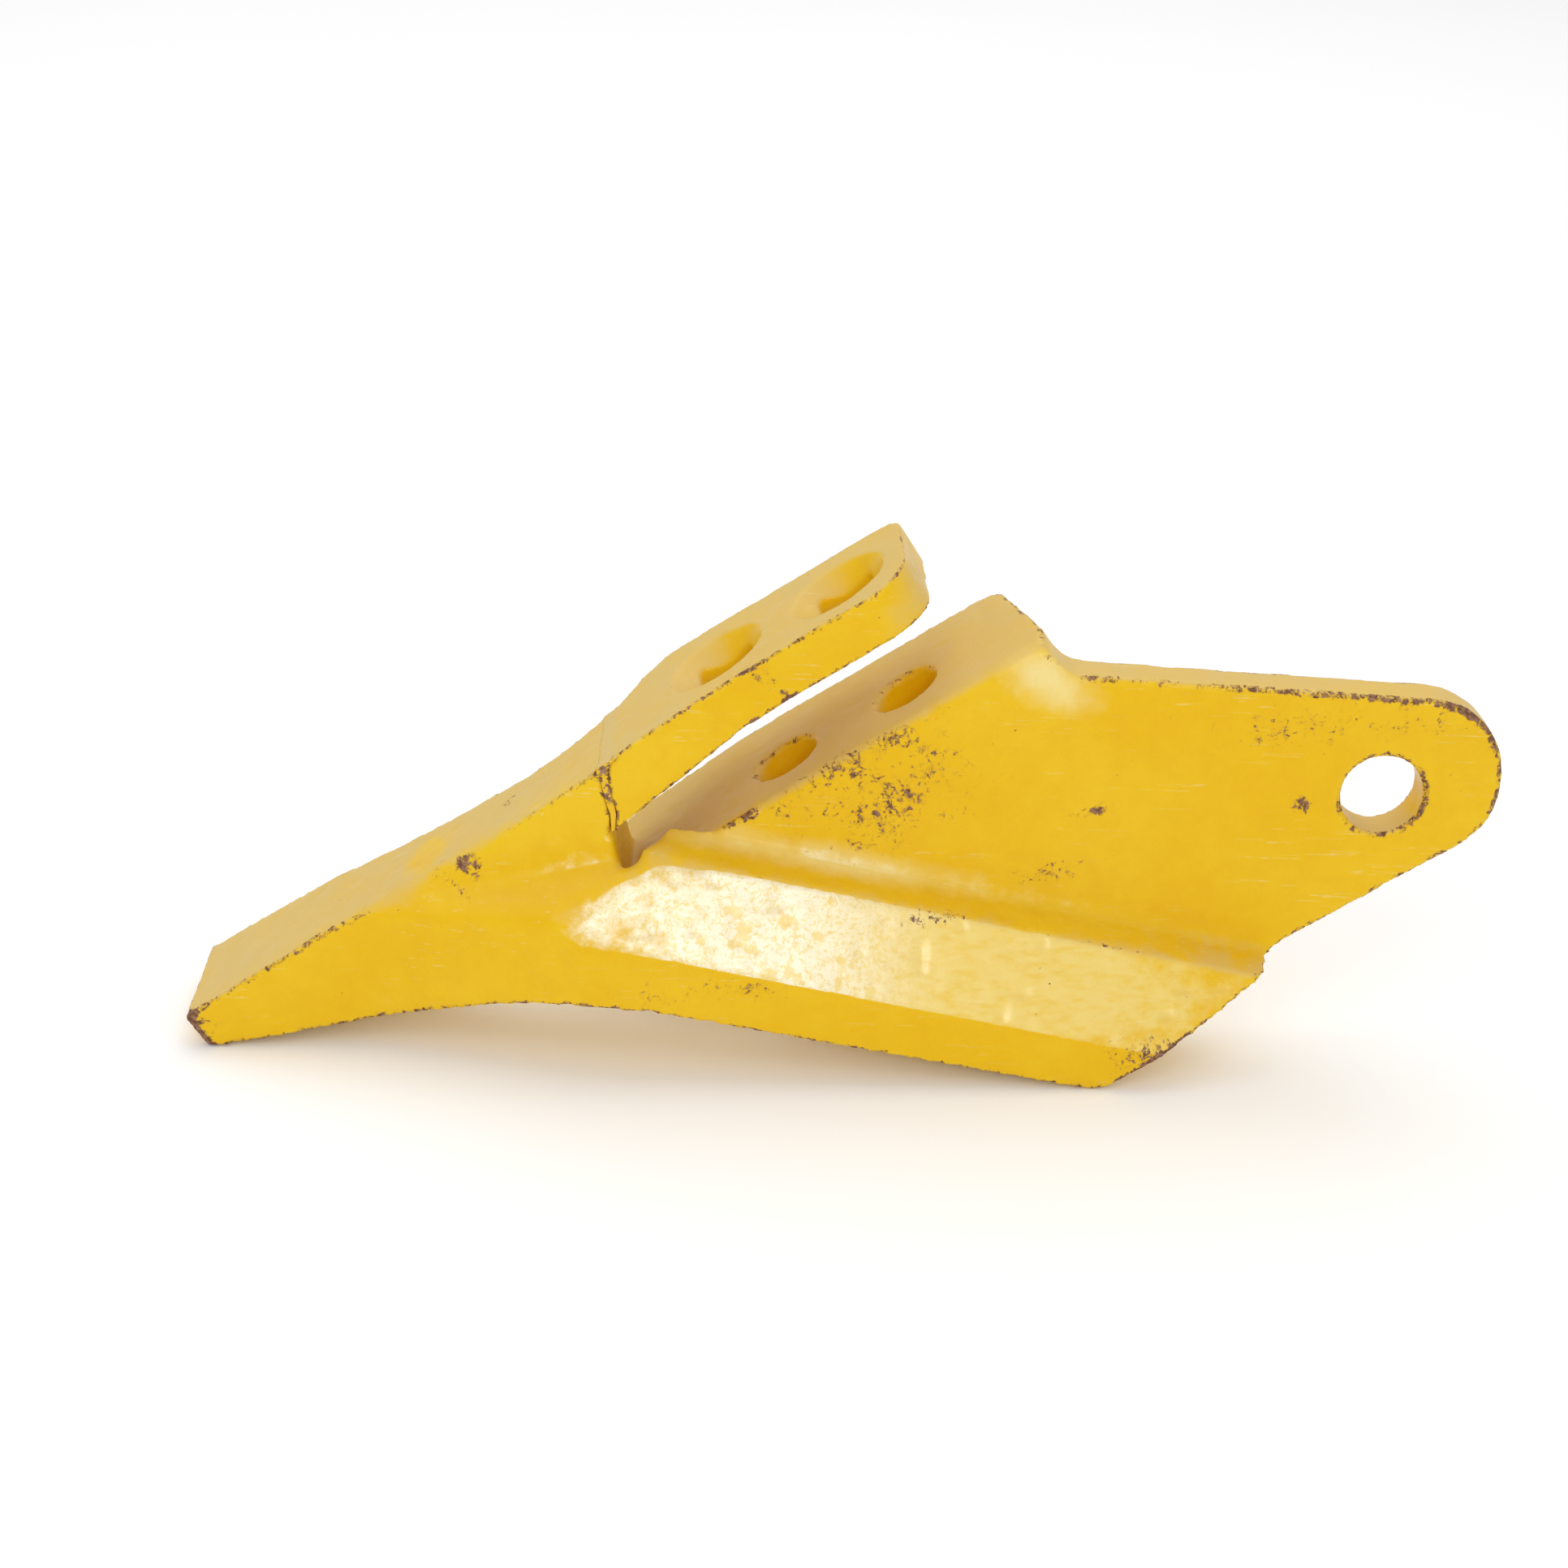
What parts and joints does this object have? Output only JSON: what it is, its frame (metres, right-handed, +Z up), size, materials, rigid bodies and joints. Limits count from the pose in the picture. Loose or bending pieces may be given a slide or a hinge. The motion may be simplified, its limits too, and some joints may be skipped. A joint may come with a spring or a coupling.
{
  "type": "bucket side cutter tooth",
  "caption": "Side cutter tooth for a digger bucket: a chisel nose, forked legs that grip the bucket lip, a side ear with a bolt hole, and a slanted wear rib.",
  "frame": {"origin": "centre of the bounding box's underside, on the floor the tooth rests on", "axes": "+X from the nose's cutting edge to the ear, +Y from the bucket's side wall towards the inside of the bucket, +Z up as the tooth lies on its nose and wear rib"},
  "size_m": [0.3514, 0.0776, 0.1374],
  "materials": {
    "yellow_paint": "worn glossy yellow paint on forged steel, chipped to rust at the edges",
    "weld_metal": "rusty weld metal with thin paint"
  },
  "bodies": {
    "root": {"body_forging": "yellow_paint", "upper_leg": "yellow_paint", "leg_weld": "weld_metal"}
  },
  "joints": []
}
